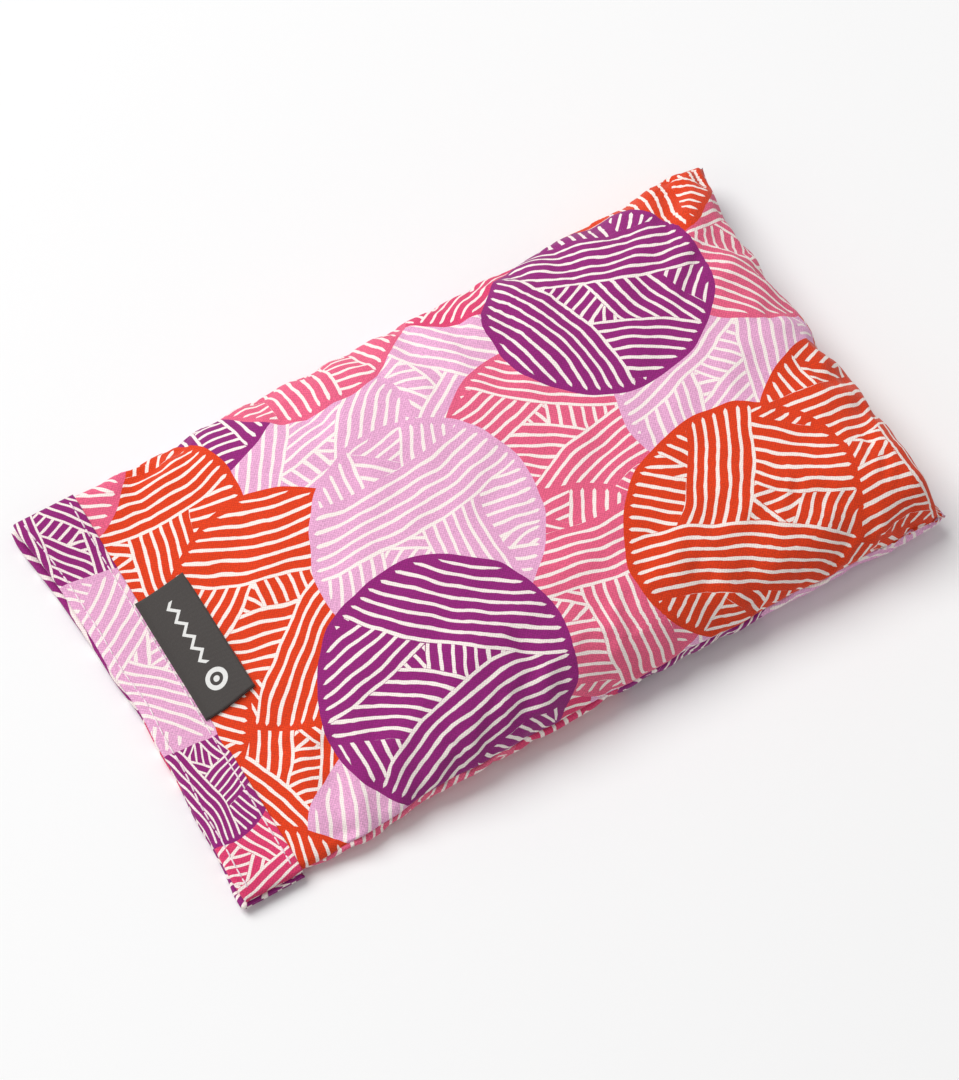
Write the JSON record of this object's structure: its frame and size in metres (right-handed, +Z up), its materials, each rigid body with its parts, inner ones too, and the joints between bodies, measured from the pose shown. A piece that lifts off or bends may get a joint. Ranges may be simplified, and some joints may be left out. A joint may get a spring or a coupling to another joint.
{
  "type": "eye pillow",
  "caption": "Seed-filled eye pillow in a removable printed cotton cover, open at one short end with stitched cuffs and a folded side label.",
  "frame": {"origin": "on the surface that the pillow lies on, below the centre of its bounding box", "axes": "+X from the cover's open mouth to its closed end, +Y across the cover, +Z up out of the front panel"},
  "size_m": [0.199, 0.115, 0.024],
  "materials": {
    "printed_cotton": "matt plain-weave cotton with a printed pattern",
    "cuff_cotton": "matt plain-weave cotton with a printed pattern",
    "pale_thread": "fine polyester sewing thread, slight sheen",
    "label_tape": "dense charcoal woven tape",
    "plain_muslin": "unbleached plain-weave cotton",
    "flax_seed": "smooth dry brown seed"
  },
  "bodies": {
    "cover": {"front_panel": "printed_cotton", "back_panel": "printed_cotton", "front_cuff": "cuff_cotton", "back_cuff": "cuff_cotton", "front_mouth_stitches": "pale_thread", "front_cuff_stitches": "pale_thread", "back_mouth_stitches": "pale_thread", "back_cuff_stitches": "pale_thread", "near_side_seam_stitches": "pale_thread", "far_side_seam_stitches": "pale_thread", "end_seam_stitches": "pale_thread"},
    "label": {"woven_label": "label_tape"},
    "inner_pillow": {"inner_bag_front": "plain_muslin", "inner_bag_back": "plain_muslin", "inner_bag_seam_stitches": "pale_thread", "inner_bag_closing_stitches": "pale_thread", "seed_fill": "flax_seed"}
  },
  "joints": [
    {"name": "pillow_slide", "type": "slide", "parent": "cover", "child": "inner_pillow", "axis": [-1, 0, 0], "range_m": [0, 0.2], "deforming": ["inner_bag_front", "inner_bag_back", "inner_bag_seam_stitches", "inner_bag_closing_stitches", "seed_fill"]},
    {"name": "label_lift", "type": "hinge", "parent": "cover", "child": "label", "pos_m": [-0.0834, 0.0055, 0.00625], "axis": [0, -1, 0], "range_deg": [0, 145]}
  ]
}
